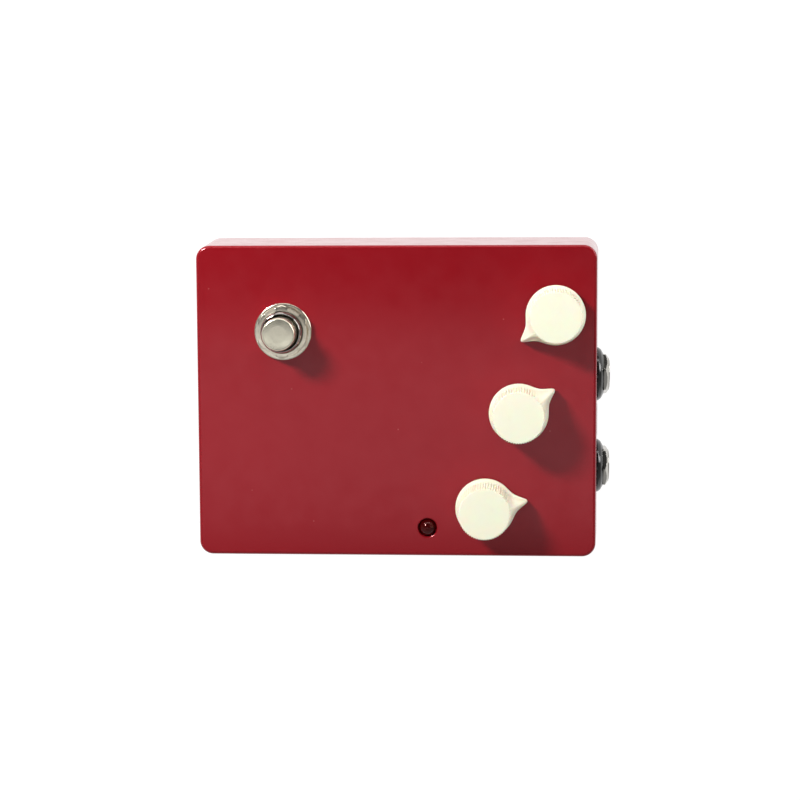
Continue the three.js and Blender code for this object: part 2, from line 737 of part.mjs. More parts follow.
function addLamp(pedal) {
  const place = new THREE.Group();
  place.position.set(LAMP_X, LAMP_Y, 0);
  pedal.add(place);
  const topZ = FACE_Z + LAMP_RISE;
  const flangeZ = topZ - LAMP_LENGTH;
  const domeSteps = 5;
  const dome = Array.from({ length: domeSteps }, (_, i) => {
    const angle = i * Math.PI / 2 / domeSteps;
    return [LAMP_RADIUS * Math.cos(angle), topZ - LAMP_RADIUS + LAMP_RADIUS * Math.sin(angle)];
  });
  const lens = turned([
    [0, flangeZ],
    [LAMP_FLANGE_RADIUS, flangeZ],
    [LAMP_FLANGE_RADIUS, flangeZ + 1],
    [LAMP_RADIUS, flangeZ + 1],
    ...dome,
    [0, topZ],
  ]);
  piece(place, 'lamp_lens', lens, 'redLens');
  const lead = slab(LAMP_LEAD_WIDTH, LAMP_LEAD_WIDTH, BOARD_TOP, flangeZ);
  piece(place, 'lamp_anode_lead', lead, 'nickel').position.y = LAMP_LEAD_SPACING / 2;
  piece(place, 'lamp_cathode_lead', lead, 'nickel').position.y = -LAMP_LEAD_SPACING / 2;
}

// ---- Sockets ---------------------------------------------------------------------------

// Everything outside the rear wall at its own slope, less a small gap.
function outsideRearWall() {
  const far = REAR_WALL_Y + 20;
  const side = new THREE.Shape();
  side.moveTo(FACE_LENGTH / 2 + lean(FACE_Z) + 0.02, -FACE_Z);
  side.lineTo(far, -FACE_Z);
  side.lineTo(far, -RIM_Z);
  side.lineTo(FACE_LENGTH / 2 + lean(RIM_Z) + 0.02, -RIM_Z);
  side.closePath();
  // Drawn with Y across and minus Z up, then stood upright to run along X.
  const wedge = prism(side, -FACE_WIDTH / 2, FACE_WIDTH / 2);
  const stand = new THREE.Matrix4().set(0, 0, 1, 0, 1, 0, 0, 0, 0, -1, 0, 0, 0, 0, 0, 1);
  return wedge.applyMatrix4(stand);
}

function addJack(pedal, { name, x, nutDeg }) {
  const innerY = FACE_LENGTH / 2 + lean(SOCKET_Z + JACK_BODY_HEIGHT / 2) - WALL - 0.1;
  const bodyEndY = innerY - JACK_BODY_LENGTH;
  const boreEndY = BUSHING_OUTER_Y - JACK_DEPTH;
  const bore = laidToRear(rod(JACK_BORE_RADIUS, boreEndY, BUSHING_OUTER_Y + 1));
  bore.translate(x, 0, SOCKET_Z);

  const shoulderY = innerY - 3;
  const body = cut(
    block(
      x - JACK_BODY_WIDTH / 2, x + JACK_BODY_WIDTH / 2, bodyEndY, innerY,
      SOCKET_Z - JACK_BODY_HEIGHT / 2, SOCKET_Z + JACK_BODY_HEIGHT / 2,
    ),
    bore,
    laidToRear(rod(JACK_BUSHING_RADIUS + THREAD_GAP, shoulderY, innerY + 1))
      .translate(x, 0, SOCKET_Z),
  );
  piece(pedal, `${name}_body`, body, 'blackPlastic');

  const bushing = cut(
    laidToRear(rod(JACK_BUSHING_RADIUS, shoulderY, BUSHING_OUTER_Y)).translate(x, 0, SOCKET_Z),
    bore,
  );
  piece(pedal, `${name}_bushing`, bushing, 'nickel');

  const holeRadius = JACK_BUSHING_RADIUS + THREAD_GAP;
  const hole = laidToRear(rod(holeRadius, REAR_WALL_Y - 5, REAR_WALL_Y + 8));
  hole.translate(x, 0, SOCKET_Z);
  const collarEnd = REAR_WALL_Y + JACK_COLLAR_HEIGHT;
  const dome = laidToRear(turned([
    [0, REAR_WALL_Y - 2],
    [JACK_COLLAR_PROFILE[0][0], REAR_WALL_Y - 2],
    ...JACK_COLLAR_PROFILE.map(([r, out]) => [r, REAR_WALL_Y + out]),
    [0, collarEnd],
  ]));
  const collar = cut(common(dome.translate(x, 0, SOCKET_Z), outsideRearWall()), hole);
  piece(pedal, `${name}_collar`, collar, 'blackPlastic');

  const corner = JACK_NUT_ACROSS_FLATS / Math.sqrt(3);
  const hex = prism(hexagon(JACK_NUT_ACROSS_FLATS), collarEnd, NUT_OUTER_Y);
  hex.rotateZ(THREE.MathUtils.degToRad(nutDeg));
  // The nut's outer face falls away from the crown as a shallow cone.
  const slope = 0.65;
  const chamfer = turned([
    [0, collarEnd - 1],
    [corner + 1, collarEnd - 1],
    [corner + 1, NUT_OUTER_Y - slope * (corner + 1 - JACK_NUT_CROWN_RADIUS)],
    [JACK_NUT_CROWN_RADIUS, NUT_OUTER_Y],
    [0, NUT_OUTER_Y],
  ]);
  const nut = cut(laidToRear(common(hex, chamfer)).translate(x, 0, SOCKET_Z), hole);
  piece(pedal, `${name}_nut`, nut, 'nickel');
}

function addPowerJack(pedal) {
  // The front is upright, with its top edge just inside the leaning wall.
  const faceY = FACE_LENGTH / 2 + lean(SOCKET_Z + POWER_HEIGHT / 2) - POWER_SETBACK;
  const body = cut(
    block(
      POWER_X - POWER_WIDTH / 2, POWER_X + POWER_WIDTH / 2, faceY - POWER_LENGTH, faceY,
      SOCKET_Z - POWER_HEIGHT / 2, SOCKET_Z + POWER_HEIGHT / 2,
    ),
    laidToRear(rod(POWER_BORE_RADIUS, faceY - POWER_BORE_DEPTH, faceY + 1))
      .translate(POWER_X, 0, SOCKET_Z),
  );
  piece(pedal, 'power_jack_body', body, 'blackPlastic');
  const pinEnd = faceY - 1;
  const pin = laidToRear(turned([
    [0, faceY - POWER_BORE_DEPTH],
    [POWER_PIN_RADIUS, faceY - POWER_BORE_DEPTH],
    [POWER_PIN_RADIUS, pinEnd - 0.6],
    [POWER_PIN_RADIUS * 0.5, pinEnd],
    [0, pinEnd],
  ], COARSE));
  piece(pedal, 'power_jack_pin', pin.translate(POWER_X, 0, SOCKET_Z), 'nickel');
}

// ---- Circuit ---------------------------------------------------------------------------

function addCircuit(pedal) {
  const board = cut(
    block(
      -BOARD_HALF_WIDTH, BOARD_HALF_WIDTH, BOARD_FRONT, BOARD_REAR,
      BOARD_UNDERSIDE, BOARD_TOP,
    ),
    ...[-1, 1].map((side) => slab(
      2 * BOARD_NOTCH, 2 * BOARD_NOTCH, BOARD_UNDERSIDE - 1, BOARD_TOP + 1,
    ).translate(side * BOARD_HALF_WIDTH, BOARD_REAR, 0)),
  );
  piece(pedal, 'circuit_board', board, 'greenBoard');

  // A dual in-line chip: a moulded body with four legs down each side.
  const chipTop = BOARD_UNDERSIDE - CHIP_STANDOFF;
  const legPitch = 2.54;
  const legX = CHIP_WIDTH / 2 + 0.4;
  const legs = [-1.5, -0.5, 0.5, 1.5].flatMap((step) => [-1, 1].map((side) => join(
    slab(0.5, 0.5, chipTop - 2, BOARD_UNDERSIDE).translate(side * legX, step * legPitch, 0),
    slab(1.2, 0.5, chipTop - 2, chipTop - 1.5)
      .translate(side * (legX - 0.35), step * legPitch, 0),
  )));
  const chip = join(slab(CHIP_WIDTH, CHIP_LENGTH, chipTop - CHIP_HEIGHT, chipTop), ...legs);
  piece(pedal, 'amplifier_chip', chip, 'blackPlastic').position.set(...CHIP_PLACE, 0);

  const capFloor = BOARD_UNDERSIDE - CAPACITOR_HEIGHT;
  const capacitor = turned([
    [0, capFloor],
    [CAPACITOR_RADIUS - 0.3, capFloor],
    [CAPACITOR_RADIUS, capFloor + 0.3],
    [CAPACITOR_RADIUS, BOARD_UNDERSIDE],
    [0, BOARD_UNDERSIDE],
  ], COARSE);
  piece(pedal, 'filter_capacitor', capacitor, 'capSleeve').position.set(...CAPACITOR_PLACE, 0);
}

// The flat cable from the footswitch lugs up to the board's front edge.
function addRibbon(pedal) {
  const lugTipZ = CEILING_Z - SWITCH_FRAME_HEIGHT - SWITCH_BODY_HEIGHT
    - SWITCH_WAFER_HEIGHT - SWITCH_LUG_HEIGHT;
  const startY = SWITCH_Y + SWITCH_LUG_PITCH - 1;
  const riseY = startY + 3;
  const bend = 14;
  const endY = BOARD_FRONT + 4;
  const lowZ = lugTipZ - 0.1 - RIBBON_THICKNESS;
  const highZ = BOARD_UNDERSIDE - 0.1;
  const shape = new THREE.Shape();
  shape.moveTo(startY, lowZ);
  shape.lineTo(riseY, lowZ);
  shape.bezierCurveTo(riseY + bend, lowZ, endY - bend - 4, highZ - RIBBON_THICKNESS,
    endY - 4, highZ - RIBBON_THICKNESS);
  shape.lineTo(endY, highZ - RIBBON_THICKNESS);
  shape.lineTo(endY, highZ);
  shape.lineTo(endY - 4.5, highZ);
  shape.bezierCurveTo(endY - bend - 4.5, highZ, riseY + bend - 0.5, lowZ + RIBBON_THICKNESS,
    riseY - 0.5, lowZ + RIBBON_THICKNESS);
  shape.lineTo(startY, lowZ + RIBBON_THICKNESS);
  shape.closePath();
  const strip = prism(shape, -RIBBON_WIDTH / 2, RIBBON_WIDTH / 2, 10);
  // Drawn with Y across and Z up, then turned to run along X.
  const turn = new THREE.Matrix4().set(0, 0, 1, 0, 1, 0, 0, 0, 0, 1, 0, 0, 0, 0, 0, 1);
  piece(pedal, 'switch_ribbon_cable', strip.applyMatrix4(turn), 'ribbon').position.x = SWITCH_X;
}

// ---- Assembly --------------------------------------------------------------------------

// The origin lies under the middle of everything, sockets included.
const FRONT_Y = -FACE_LENGTH / 2 - DRAFT;
const pedal = new THREE.Group();
pedal.position.y = -(BUSHING_OUTER_Y + FRONT_Y) / 2;

addShell(pedal);
addBasePlate(pedal);
addLidScrews(pedal);
addFeet(pedal);
for (const control of CONTROLS) {
  addPotentiometer(pedal, control);
  addKnob(pedal, control);
}
addFootswitch(pedal);
addLamp(pedal);
for (const socket of SOCKETS) {
  addJack(pedal, socket);
}
addPowerJack(pedal);
addCircuit(pedal);
addRibbon(pedal);

export default pedal;
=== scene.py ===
"""Looks of a three-knob guitar effects pedal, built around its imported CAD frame.

Lengths in the shape helpers are millimetres; objects are placed in metres, in the frame's axes:
+Z up, +Y towards the rear wall with the sockets, +X to the player's right.
"""

import json
import math

import bpy
import numpy as np
from mathutils import Matrix, Vector


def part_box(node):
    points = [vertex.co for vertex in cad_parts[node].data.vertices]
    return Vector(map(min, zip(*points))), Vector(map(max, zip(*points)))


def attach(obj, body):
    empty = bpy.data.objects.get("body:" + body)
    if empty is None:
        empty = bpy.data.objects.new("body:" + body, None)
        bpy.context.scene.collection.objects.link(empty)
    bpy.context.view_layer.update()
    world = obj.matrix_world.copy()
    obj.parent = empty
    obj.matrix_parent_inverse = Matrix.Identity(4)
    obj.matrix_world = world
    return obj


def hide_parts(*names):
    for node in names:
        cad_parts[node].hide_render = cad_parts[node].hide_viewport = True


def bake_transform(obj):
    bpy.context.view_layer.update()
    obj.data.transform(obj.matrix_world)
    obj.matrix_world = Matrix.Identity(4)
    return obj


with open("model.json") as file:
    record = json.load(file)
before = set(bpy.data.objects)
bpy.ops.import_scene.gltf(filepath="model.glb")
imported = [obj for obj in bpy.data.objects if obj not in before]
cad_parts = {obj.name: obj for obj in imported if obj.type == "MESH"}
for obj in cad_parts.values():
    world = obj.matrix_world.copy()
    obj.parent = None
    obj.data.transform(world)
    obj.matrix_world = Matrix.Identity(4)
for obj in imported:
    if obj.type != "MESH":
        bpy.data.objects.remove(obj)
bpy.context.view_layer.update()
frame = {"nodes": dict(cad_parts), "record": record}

scene = bpy.context.scene
MM = 0.001

# ---- Sizes that the frame doesn't state, in millimetres --------------------------------

CORNER_RADIUS = 4.0
EDGE_RADIUS = 0.9
WALL = 2.2
DRAFT = 1.35
POST_RADIUS = 3.9
SCREW_HOLE_RADIUS = 1.65
SCREW_HEAD_RADIUS = 3.1
SCREW_SHANK_RADIUS = 1.6
SCREW_RECESS_RADIUS = 3.4
SCREW_RECESS_DEPTH = 1.8
FOOT_RADIUS = 5.95
POT_HOLE_RADIUS = 4.6
SWITCH_HOLE_RADIUS = 6.1
KNOB_SKIRT_RADIUS = 8.7
KNOB_BODY_RADIUS = 7.95
KNOB_TOP_RADIUS = 7.5
KNOB_REACH = 12.55
KNOB_FLUTES = 64
KNOB_FLUTE_DEPTH = 0.32
POINTER_SKIRT_WIDTH = 9.36
POINTER_RIDGE_WIDTH = 8.7
POINTER_SHARPNESS = 1.248
POINTER_TIP_EASE = 1.6
KNOB_CAVITY_RADIUS = 7.0
KNOB_CAVITY_DEPTH = 6.0
INSERT_SEAT_RADIUS = 4.45
INSERT_SEAT_TOP = 11.2
SET_SCREW_WAY_RADIUS = 1.65
SET_SCREW_HEIGHT = 8.5
LAMP_RADIUS = 2.5
LAMP_FLANGE_RADIUS = 2.9
LAMP_HOLE_RADIUS = 2.7
HOLE_EDGE = 0.4
COLLAR_HEIGHT = 1.9
COLLAR_RADIUS = 8.0
SWITCH_NUT_FLATS = 14
SWITCH_NUT_BORE = 6.05
SWITCH_NUT_CROWN = 7.35
SWITCH_NUT_SLOPE = 0.55
SWITCH_THREAD_RADIUS = 5.98
SWITCH_THREAD_DEPTH = 0.22
SWITCH_THREAD_PITCH = 0.75
BUTTON_RADIUS = 4.75
BUTTON_STEM_RADIUS = 2.4
BUTTON_SHOULDER = 2.5
SPRING_TURNS = 5
SPRING_WIRE_RADIUS = 0.4
JACK_NUT_FLATS = 11
JACK_HOLE_RADIUS = 4.6
JACK_NUT_CROWN = 4.75
JACK_NUT_SLOPE = 0.65
JACK_THREAD_RADIUS = 4.48
JACK_THREAD_DEPTH = 0.28
JACK_THREAD_PITCH = 0.75
JACK_BORE_RADIUS = 3.25
JACK_BORE_DEPTH = 31.5
POWER_BORE_RADIUS = 2.9
POWER_PIN_RADIUS = 1.05
FLOOR_DROP = 0.05

# How far each phone socket's nut is turned, in degrees.
JACK_NUT_TURNS = {"input_jack": 34, "output_jack": 14}

# ---- Studio: places in metres, lens and sensor in millimetres --------------------------

CAMERA_PLACE = (-0.06415, 0.03686, 0.61561)
CAMERA_TARGET = (-0.00051, -0.00032, 0.0372)
CAMERA_UP = (-1, 0.0043, 0)
CAMERA_LENS = 89.47
CAMERA_SENSOR = 36
FLOOR_REACH = 10.0
# Name, place, point aimed at, watts, shape, and the two sides of the light's face.
LIGHTS = (
    ("key", (-0.265, -0.27, 0.36), (0, 0, 0.03), 2.95, "ELLIPSE", 0.13, 0.085),
    ("overhead", (0.155, -0.1, 1.2), (0.155, -0.1, 0), 0.51, "RECTANGLE", 0.9, 0.199),
    ("strip", (-0.85, 0.05, 0.40), (0, 0, 0.03), 1.9, "RECTANGLE", 0.9, 0.13),
    ("side", (-0.40, 0.70, 0.155), (0, 0, 0.045), 3.0, "RECTANGLE", 0.16, 0.6),
)
# The world's strength towards -X, towards +X and straight up.
WORLD_NEAR, WORLD_FAR, WORLD_ABOVE = 0.06, 0.42, 0.03


# ---- Mesh helpers ----------------------------------------------------------------------

def mesh_object(name, vertices, faces, smooth_angle=32):
    """A mesh from vertices in millimetres, smooth except where faces meet sharply."""
    mesh = bpy.data.meshes.new(name)
    mesh.from_pydata([tuple(c * MM for c in v) for v in vertices], [], faces)
    mesh.validate()
    piece = bpy.data.objects.new(name, mesh)
    scene.collection.objects.link(piece)
    face_outwards(mesh)
    smooth(piece, smooth_angle)
    return piece


def face_outwards(mesh):
    """Turns a closed mesh inside out if its faces point in."""
    mesh.calc_loop_triangles()
    points = np.empty(len(mesh.vertices) * 3, np.float32)
    mesh.vertices.foreach_get("co", points)
    points = points.reshape(-1, 3).astype(float)
    corners = np.empty(len(mesh.loop_triangles) * 3, np.int32)
    mesh.loop_triangles.foreach_get("vertices", corners)
    a, b, c = (points[corners.reshape(-1, 3)[:, k]] for k in range(3))
    if np.einsum("ij,ij->i", a, np.cross(b, c)).sum() < 0:
        mesh.flip_normals()


def smooth(piece, angle):
    piece.data.shade_smooth()
    piece.data.set_sharp_from_angle(angle=math.radians(angle))


def ring(radius, z, count):
    """Points round the Z axis at height z. radius is a number or a function of the angle."""
    angles = np.arange(count) * math.tau / count
    reach = radius(angles) if callable(radius) else np.full(count, float(radius))
    return np.stack([reach * np.cos(angles), reach * np.sin(angles), np.full(count, z)], axis=1)


def skin(name, rings, closed=False, **options):
    """A solid through rings of equally many points: capped at both ends, or closed on itself."""
    count = len(rings[0])
    faces = []
    spans = len(rings) if closed else len(rings) - 1
    for i in range(spans):
        low, high = i * count, (i + 1) % len(rings) * count
        for k in range(count):
            n = (k + 1) % count
            faces.append((low + k, low + n, high + n, high + k))
    if not closed:
        faces.append(tuple(reversed(range(count))))
        faces.append(tuple((len(rings) - 1) * count + k for k in range(count)))
    return mesh_object(name, np.concatenate(rings), faces, **options)


def rounded(points, steps=4):
    """A profile with each corner (r, z, fillet) rounded to its fillet radius."""
    out = []
    last = len(points) - 1
    for i, point in enumerate(points):
        here = np.array(point[:2], float)
        fillet = point[2] if len(point) > 2 else 0
        if fillet == 0 or i in (0, last):
            out.append(tuple(here))
            continue
        before = np.array(points[i - 1][:2], float) - here
        after = np.array(points[i + 1][:2], float) - here
        u, v = before / np.linalg.norm(before), after / np.linalg.norm(after)
        half = math.acos(float(np.clip(u @ v, -1, 1))) / 2
        setback = fillet / math.tan(half)
        centre = here + (u + v) / np.linalg.norm(u + v) * fillet / math.sin(half)
        start, end = here + u * setback - centre, here + v * setback - centre
        turn = math.atan2(start[0] * end[1] - start[1] * end[0], float(start @ end))
        for step in range(steps + 1):
            a = turn * step / steps
            out.append((
                centre[0] + start[0] * math.cos(a) - start[1] * math.sin(a),
                centre[1] + start[0] * math.sin(a) + start[1] * math.cos(a),
            ))
    return out


def revolve(name, profile, count=96, closed=False):
    return skin(name, [ring(r, z, count) for r, z in profile], closed)


def rounded_box(name, low, high, radius, steps=4):
    """A box with its upright edges and rims rounded by radius."""
    low, high = Vector(low), Vector(high)
    half = (high - low) / 2
    centre = (low + high) / 2
    rings = []
    for i in range(2 * (steps + 1)):
        rising = i > steps
        a = (i - 1 if rising else i) * math.pi / 2 / steps - math.pi / 2
        inset = radius * (1 - math.cos(a))
        z = (half.z - radius if rising else radius - half.z) + radius * math.sin(a)
        corner = max(radius - inset, 0.02)
        rings.append(outline(half.x - inset, half.y - inset, corner, z, steps))
    piece = skin(name, rings)
    piece.data.transform(Matrix.Translation(centre * MM))
    return piece


def outline(half_x, half_y, radius, z, steps=12):
    """A rectangle with round corners at height z."""
    points = []
    for corner, (sx, sy) in enumerate(((1, -1), (1, 1), (-1, 1), (-1, -1))):
        start = (corner - 1) * math.pi / 2
        for step in range(steps + 1):
            a = start + step * math.pi / 2 / steps
            points.append((
                sx * (half_x - radius) + radius * math.cos(a),
                sy * (half_y - radius) + radius * math.sin(a),
                z,
            ))
    return np.array(points)


def cylinder(radius, low, high, count=64):
    return revolve("cutter", [(radius, low), (radius, high)], count)


def carve(piece, cutters):
    """Cuts each cutter out of piece and removes the cutter."""
    for cutter in cutters:
        modifier = piece.modifiers.new("carve", "BOOLEAN")
        modifier.operation = "DIFFERENCE"
        modifier.solver = "EXACT"
        modifier.object = cutter
        bpy.context.view_layer.update()
        result = bpy.data.meshes.new_from_object(
            piece.evaluated_get(bpy.context.evaluated_depsgraph_get())
        )
        piece.modifiers.clear()
        piece.data = result
        bpy.data.objects.remove(cutter)


def even_normals(piece):
    """Lets large flat faces keep flat shading beside the roundings round them."""
    modifier = piece.modifiers.new("even normals", "WEIGHTED_NORMAL")
    modifier.keep_sharp = True
    modifier.weight = 100


def lay_to_rear(piece):
    """Turns a piece drawn along +Z so that its top faces +Y."""
    piece.data.transform(Matrix.Rotation(-math.pi / 2, 4, "X"))
    return piece


def place(piece, x, y, z):
    piece.data.transform(Matrix.Translation(Vector((x, y, z)) * MM))
    return piece


def mount(piece, node, body, material):
    """Puts piece in a CAD node's stead, on its body, in its material."""
    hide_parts(node)
    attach(piece, body)
    piece.data.materials.clear()
    piece.data.materials.append(material)


def node_box(node):
    """The node's lowest and highest corners in millimetres."""
    low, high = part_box(node)
    return low / MM, high / MM


def node_centre(node):
    low, high = node_box(node)
    return (low + high) / 2


# ---- Materials -------------------------------------------------------------------------

class Nodes:
    """A material's node tree, with short calls for the nodes that the materials share."""

    def __init__(self, name):
        self.material = bpy.data.materials.new(name)
        self.material.use_nodes = True
        self.tree = self.material.node_tree
        self.shader = self.tree.nodes["Principled BSDF"]
        self.place = self.add("ShaderNodeTexCoord").outputs["Object"]

    def add(self, kind, inputs=None, **settings):
        node = self.tree.nodes.new(kind)
        for key, value in settings.items():
            setattr(node, key, value)
        for key, value in (inputs or {}).items():
            self.set(node.inputs[key], value)
        return node

    def set(self, socket, value):
        if isinstance(value, bpy.types.NodeSocket):
            self.tree.links.new(value, socket)
        else:
            socket.default_value = value

    def shade(self, **inputs):
        for key, value in inputs.items():
            self.set(self.shader.inputs[key.replace("_", " ").title().replace("Ior", "IOR")], value)

    def noise(self, scale, detail=3.0, roughness=0.5, vector=None):
        node = self.add("ShaderNodeTexNoise", {
            "Vector": vector or self.place, "Scale": scale, "Detail": detail,
            "Roughness": roughness,
        })
        return node.outputs["Fac"]

    def stretched(self, x, y, z):
        node = self.add("ShaderNodeMapping", {"Vector": self.place, "Scale": (x, y, z)})
        return node.outputs["Vector"]

    def range(self, value, low, high, to_low, to_high):
        node = self.add("ShaderNodeMapRange", {
            "Value": value, "From Min": low, "From Max": high,
            "To Min": to_low, "To Max": to_high,
        })
        return node.outputs["Result"]

    def mix(self, factor, first, second):
        node = self.add("ShaderNodeMix", data_type="RGBA")
        self.set(node.inputs[0], factor)
        self.set(node.inputs[6], first)
        self.set(node.inputs[7], second)
        return node.outputs[2]

    def edges(self, radius):
        """1 along edges and corners, 0 on open surfaces."""
        soft = self.add("ShaderNodeBevel", {"Radius": radius}, samples=4).outputs["Normal"]
        flat = self.add("ShaderNodeNewGeometry").outputs["Normal"]
        dot = self.add("ShaderNodeVectorMath", {0: soft, 1: flat}, operation="DOT_PRODUCT")
        return self.range(dot.outputs["Value"], 0.995, 0.9, 0.0, 1.0)

    def maths(self, operation, first, second=0.0):
        node = self.add("ShaderNodeMath", {0: first, 1: second}, operation=operation)
        return node.outputs[0]

    def bump(self, height, strength, distance):
        return self.add("ShaderNodeBump", {
            "Height": height, "Strength": strength, "Distance": distance,
        }).outputs["Normal"]


def rgb(red, green, blue):
    return (red, green, blue, 1.0)


def paint_material():
    """Glossy red enamel: faint orange peel, slow colour drift, dust nibs, rubbed edges."""
    n = Nodes("red_paint")
    base = n.mix(n.noise(28, 2), rgb(0.228, 0.0048, 0.0092), rgb(0.252, 0.0060, 0.0112))
    specks = n.add("ShaderNodeTexVoronoi", {"Vector": n.place, "Scale": 160.0})
    nib = n.range(specks.outputs["Distance"], 0.016, 0.045, 1.0, 0.0)
    chosen = n.range(specks.outputs["Color"], 0.60, 0.64, 0.0, 1.0)
    speck = n.maths("MULTIPLY", nib, chosen)
    tint = n.mix(n.maths("MULTIPLY", speck, 0.4), base, rgb(0.5, 0.16, 0.15))
    rub = n.maths("MULTIPLY", n.edges(0.0006), n.range(n.noise(350, 4), 0.45, 0.7, 0.0, 0.35))
    tint = n.mix(rub, tint, rgb(0.36, 0.03, 0.035))
    gloss = n.range(n.noise(160, 4), 0.3, 0.7, 0.10, 0.17)
    rough = n.maths("ADD", gloss, n.maths("MULTIPLY", rub, 0.3))
    peel = n.bump(n.noise(700, 2), 0.10, 0.00001)
    n.shade(base_color=tint, roughness=rough, normal=peel)
    n.shade(ior=1.5, specular_ior_level=1.0, specular_tint=rgb(1, 0.38, 0.42))
    return n.material


def cream_material():
    """Cream moulded plastic: a little translucent, with grime settled in fine pores."""
    n = Nodes("cream_plastic")
    base = n.mix(n.noise(120, 3), rgb(0.950, 0.925, 0.710), rgb(0.965, 0.945, 0.755))
    grime = n.range(n.noise(420, 5, 0.6), 0.62, 0.78, 0.0, 0.10)
    tint = n.mix(grime, base, rgb(0.62, 0.5, 0.33))
    worn = n.maths("MULTIPLY", n.edges(0.0004), 0.12)
    rough = n.range(n.noise(500, 3), 0.3, 0.7, 0.38, 0.5)
    n.shade(
        base_color=n.mix(worn, tint, rgb(0.97, 0.95, 0.86)),
        roughness=n.maths("SUBTRACT", rough, worn),
        normal=n.bump(n.noise(1400, 3), 0.12, 0.00002),
    )
    n.shade(subsurface_weight=0.25, subsurface_scale=0.0015)
    return n.material


def plate_material(name, colour, worn, low, high, lines=(1, 1, 1), metallic=1.0):
    """Plated or bare metal: tool marks along lines, smears in the gloss, light tarnish."""
    n = Nodes(name)
    smear = n.noise(260, 4)
    tarnish = n.range(n.noise(90, 5, 0.6), 0.5, 0.8, 0.0, 0.5)
    marks = n.noise(1500, 3, 0.6, n.stretched(*lines))
    polished = n.maths("MULTIPLY", n.edges(0.0003), 0.35)
    gloss = n.range(smear, 0.3, 0.7, low, high)
    n.shade(
        base_color=n.mix(tarnish, rgb(*colour), rgb(*worn)),
        roughness=n.maths("MULTIPLY", gloss, n.maths("SUBTRACT", 1.0, polished)),
        normal=n.bump(marks, 0.10, 0.00001),
    )
    n.shade(metallic=metallic)
    return n.material


def moulded_material(name, dark, light, low, high, grain=1200):
    """A moulded plastic or rubber with a fine grain and slightly uneven gloss."""
    n = Nodes(name)
    scuffed = n.maths("MULTIPLY", n.edges(0.0004), n.range(n.noise(600, 4), 0.4, 0.7, 0.1, 0.6))
    tint = n.mix(n.noise(180, 3), rgb(*dark), rgb(*light))
    n.shade(
        base_color=n.mix(scuffed, tint, rgb(*(1.6 * c + 0.01 for c in light))),
        roughness=n.range(n.noise(400, 4), 0.3, 0.7, low, high),
        normal=n.bump(n.noise(grain, 3), 0.25, 0.00004),
    )
    return n.material


def lens_material():
    """Clear red epoxy, dark while the lamp is off, with a slight cloud in its dye."""
    n = Nodes("red_lens")
    cloud = n.noise(700, 2)
    n.shade(
        base_color=n.mix(cloud, rgb(0.14, 0.001, 0.002), rgb(0.19, 0.002, 0.003)),
        roughness=n.range(n.noise(900, 2), 0.3, 0.7, 0.02, 0.05),
    )
    n.shade(transmission_weight=0.75, ior=1.54, specular_tint=rgb(1, 0.55, 0.55))
    return n.material


def floor_material():
    """A pale matt floor that glows enough to stay even under the shadows."""
    n = Nodes("floor")
    n.shade(
        base_color=n.mix(n.noise(3, 2), rgb(0.09, 0.09, 0.09), rgb(0.11, 0.11, 0.11)),
        roughness=n.range(n.noise(30, 2), 0.3, 0.7, 0.7, 0.8),
    )
    n.shade(emission_color=rgb(1, 1, 1), emission_strength=0.98)
    return n.material


PAINT = paint_material()
CREAM = cream_material()
NICKEL = plate_material("nickel", (0.50, 0.485, 0.45), (0.42, 0.40, 0.35), 0.06, 0.12)
DRESS = plate_material("dress_nickel", (0.87, 0.80, 0.66), (0.78, 0.70, 0.54), 0.16, 0.23,
                       metallic=0.95)
SATIN = plate_material("satin_nickel", (0.93, 0.88, 0.71), (0.86, 0.81, 0.63), 0.2, 0.28,
                       metallic=0.91)
STEEL = plate_material("steel", (0.56, 0.56, 0.54), (0.4, 0.39, 0.36), 0.28, 0.42, (1, 1, 8))
BRASS = plate_material("brass", (0.72, 0.52, 0.22), (0.45, 0.3, 0.12), 0.22, 0.36, (8, 1, 1))
BLACK = moulded_material("black_plastic", (0.008, 0.008, 0.008), (0.016, 0.016, 0.015), 0.12, 0.2)
BLUE = moulded_material("blue_plastic", (0.015, 0.06, 0.3), (0.02, 0.09, 0.38), 0.4, 0.5)
RUBBER = moulded_material("rubber", (0.015, 0.015, 0.015), (0.03, 0.03, 0.03), 0.75, 0.9, 500)
LENS = lens_material()
BOARD = moulded_material("circuit_board", (0.01, 0.09, 0.03), (0.015, 0.13, 0.05), 0.35, 0.5)
SLEEVE = moulded_material("capacitor_sleeve", (0.01, 0.02, 0.09), (0.02, 0.03, 0.12), 0.25, 0.35)
RIBBON = moulded_material("ribbon", (0.3, 0.31, 0.33), (0.4, 0.41, 0.43), 0.5, 0.6)
SLOT_MATERIALS = {
    "red_paint": PAINT, "cream_plastic": CREAM, "nickel": NICKEL, "steel": STEEL,
    "brass": BRASS, "black_plastic": BLACK, "blue_plastic": BLUE, "rubber": RUBBER,
    "red_lens": LENS, "circuit_board": BOARD, "capacitor_sleeve": SLEEVE, "ribbon": RIBBON,
}


# ---- Enclosure -------------------------------------------------------------------------

SHELL_LOW, SHELL_HIGH = node_box("enclosure_shell")
FACE_Z = SHELL_HIGH.z
RIM_Z = SHELL_LOW.z
MIDDLE_Y = (SHELL_LOW.y + SHELL_HIGH.y) / 2
HALF_X = (SHELL_HIGH.x - SHELL_LOW.x) / 2
HALF_Y = (SHELL_HIGH.y - SHELL_LOW.y) / 2


def wall_outline(inset, radius, z):
    """The enclosure's outline at height z, drawn in by inset."""
    lean = DRAFT * (z - RIM_Z) / (FACE_Z - RIM_Z)
    points = outline(HALF_X - lean - inset, HALF_Y - lean - inset, radius, z)
    points[:, 1] += MIDDLE_Y
    return points


